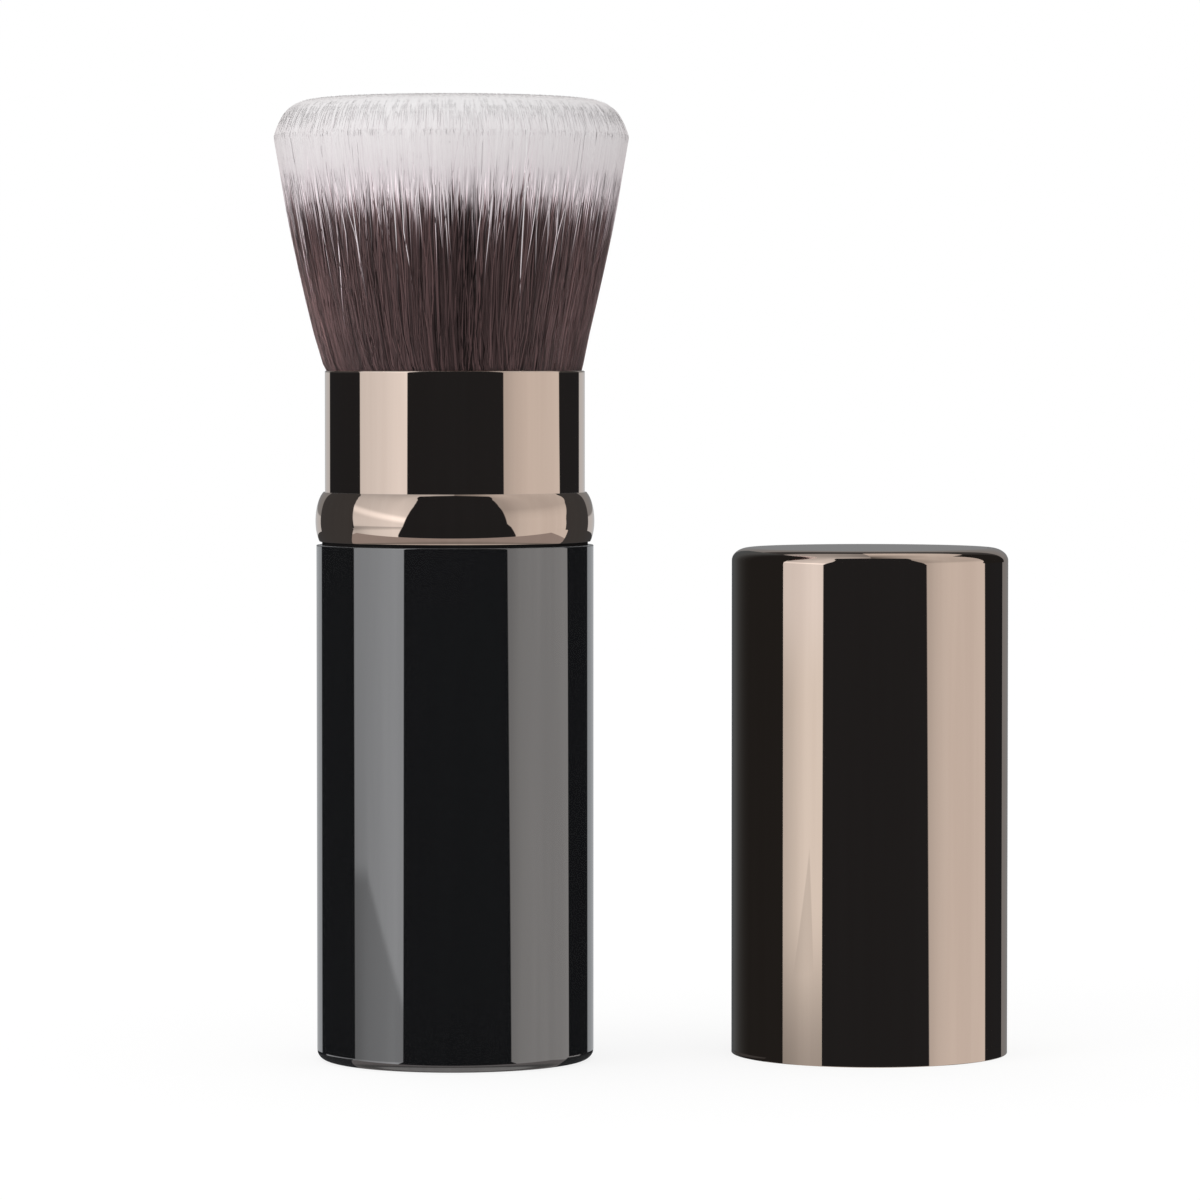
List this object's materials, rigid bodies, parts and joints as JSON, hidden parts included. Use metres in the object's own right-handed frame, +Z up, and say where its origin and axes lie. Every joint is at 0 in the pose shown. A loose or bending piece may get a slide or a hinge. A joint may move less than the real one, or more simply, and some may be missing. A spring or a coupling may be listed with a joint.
{
  "type": "retractable makeup brush",
  "caption": "Short makeup brush whose metal sleeve slides up through a bead collar round the flared bristles, with its cap standing beside it.",
  "frame": {"origin": "centre of the handle's flat base, where the brush stands", "axes": "+Z up along the brush's axis towards the bristles, +X from the brush towards its cap, +Y away from the viewer"},
  "size_m": [0.0848, 0.0426, 0.111],
  "materials": {
    "black_lacquer": "gloss",
    "rose_gold": "polished",
    "black_plastic": "satin",
    "white_plastic": "satin",
    "plain_steel": "satin",
    "plain_aluminium": "satin",
    "clear_silicone": "satin",
    "amber_epoxy": "gloss",
    "two_tone_fibre": "matte"
  },
  "bodies": {
    "handle": {"handle_shell": "black_lacquer", "handle_liner": "black_plastic", "collar_ring": "rose_gold", "base_weight": "plain_steel", "base_plug": "black_plastic", "post_screw": "plain_steel", "low_stop_ring": "clear_silicone", "center_post": "white_plastic", "high_stop_ring": "clear_silicone", "head_holder": "white_plastic", "head_screw": "plain_steel", "head_cup": "plain_aluminium", "bristle_glue": "amber_epoxy", "bristle_core": "two_tone_fibre", "bristle_flare": "two_tone_fibre"},
    "sleeve": {"sliding_sleeve": "rose_gold", "slide_carrier": "black_plastic", "friction_ring": "clear_silicone"},
    "cap": {"cap_shell": "rose_gold", "cap_liner": "black_plastic"}
  },
  "joints": [
    {"name": "sleeve_slide", "type": "slide", "parent": "handle", "child": "sleeve", "axis": [0, 0, 1], "range_m": [0, 0.034], "deforming": ["bristle_flare"]},
    {"name": "cap_lift", "type": "slide", "parent": "handle", "child": "cap", "axis": [0, 0, 1], "range_m": [0, 0.115]}
  ]
}
